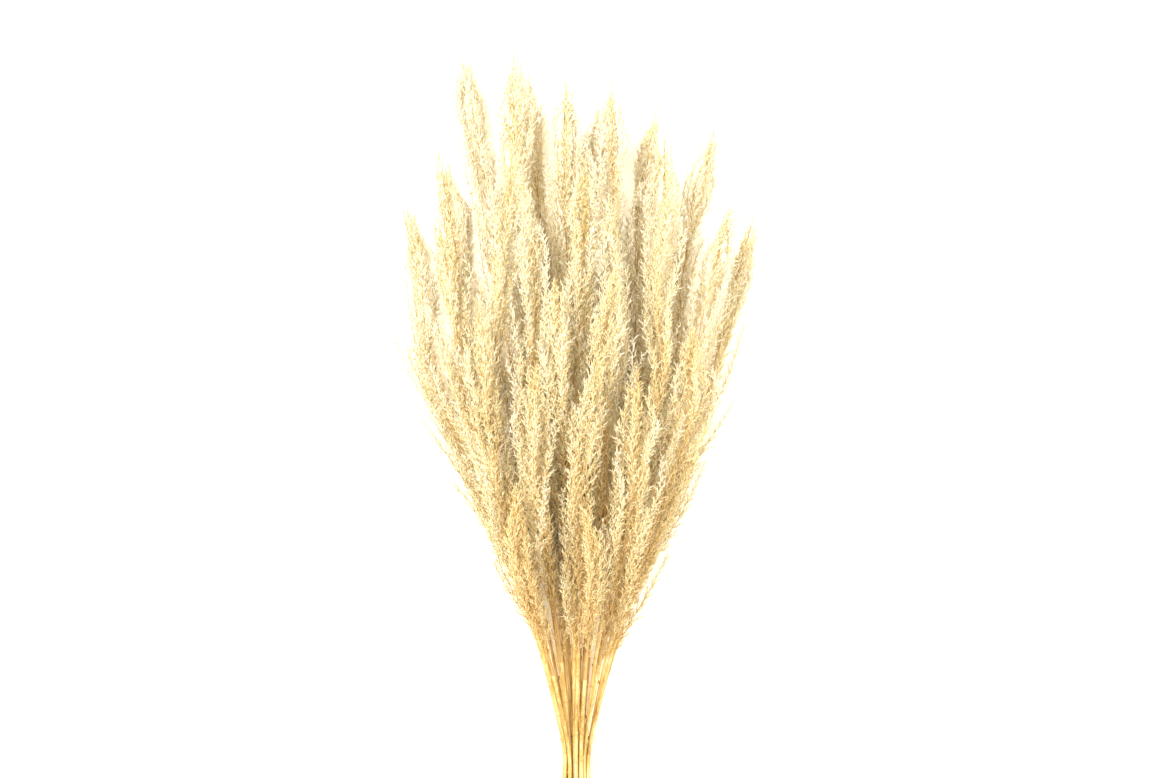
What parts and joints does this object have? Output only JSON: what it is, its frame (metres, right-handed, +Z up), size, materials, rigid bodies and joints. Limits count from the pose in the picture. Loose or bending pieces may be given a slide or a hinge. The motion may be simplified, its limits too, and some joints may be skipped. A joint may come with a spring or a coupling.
{
  "type": "bunch of preserved fern",
  "caption": "Bunch of bleached, preserved feathery fern lying on a surface: bound bare stems below, soft overlapping plumes that fan out towards their tips.",
  "frame": {"origin": "middle of the lying bunch's bounding box, on the surface that it lies on", "axes": "+Y runs along the bunch from the cut ends to the tips, +X is across it, +Z is up from the surface"},
  "size_m": [0.2866, 0.698, 0.1211],
  "materials": {
    "stem": "satin, dried straw-gold stem",
    "foliage": "matt, bleached cream needles",
    "band": "matt tan rubber"
  },
  "bodies": {
    "root": {"stem_01": "stem", "plume_01": "foliage", "stem_02": "stem", "plume_02": "foliage", "stem_03": "stem", "plume_03": "foliage", "stem_04": "stem", "plume_04": "foliage", "stem_05": "stem", "plume_05": "foliage", "stem_06": "stem", "plume_06": "foliage", "stem_07": "stem", "plume_07": "foliage", "stem_08": "stem", "plume_08": "foliage", "stem_09": "stem", "plume_09": "foliage", "stem_10": "stem", "plume_10": "foliage", "stem_11": "stem", "plume_11": "foliage", "stem_12": "stem", "plume_12": "foliage", "stem_13": "stem", "plume_13": "foliage", "stem_14": "stem", "plume_14": "foliage", "stem_15": "stem", "plume_15": "foliage", "stem_16": "stem", "plume_16": "foliage", "stem_17": "stem", "plume_17": "foliage", "stem_18": "stem", "plume_18": "foliage", "stem_19": "stem", "plume_19": "foliage", "stem_20": "stem", "plume_20": "foliage", "stem_21": "stem", "plume_21": "foliage", "stem_22": "stem", "plume_22": "foliage", "stem_23": "stem", "plume_23": "foliage", "stem_24": "stem", "plume_24": "foliage", "stem_25": "stem", "plume_25": "foliage", "stem_26": "stem", "plume_26": "foliage", "stem_27": "stem", "plume_27": "foliage", "stem_28": "stem", "plume_28": "foliage", "elastic_band": "band"}
  },
  "joints": []
}
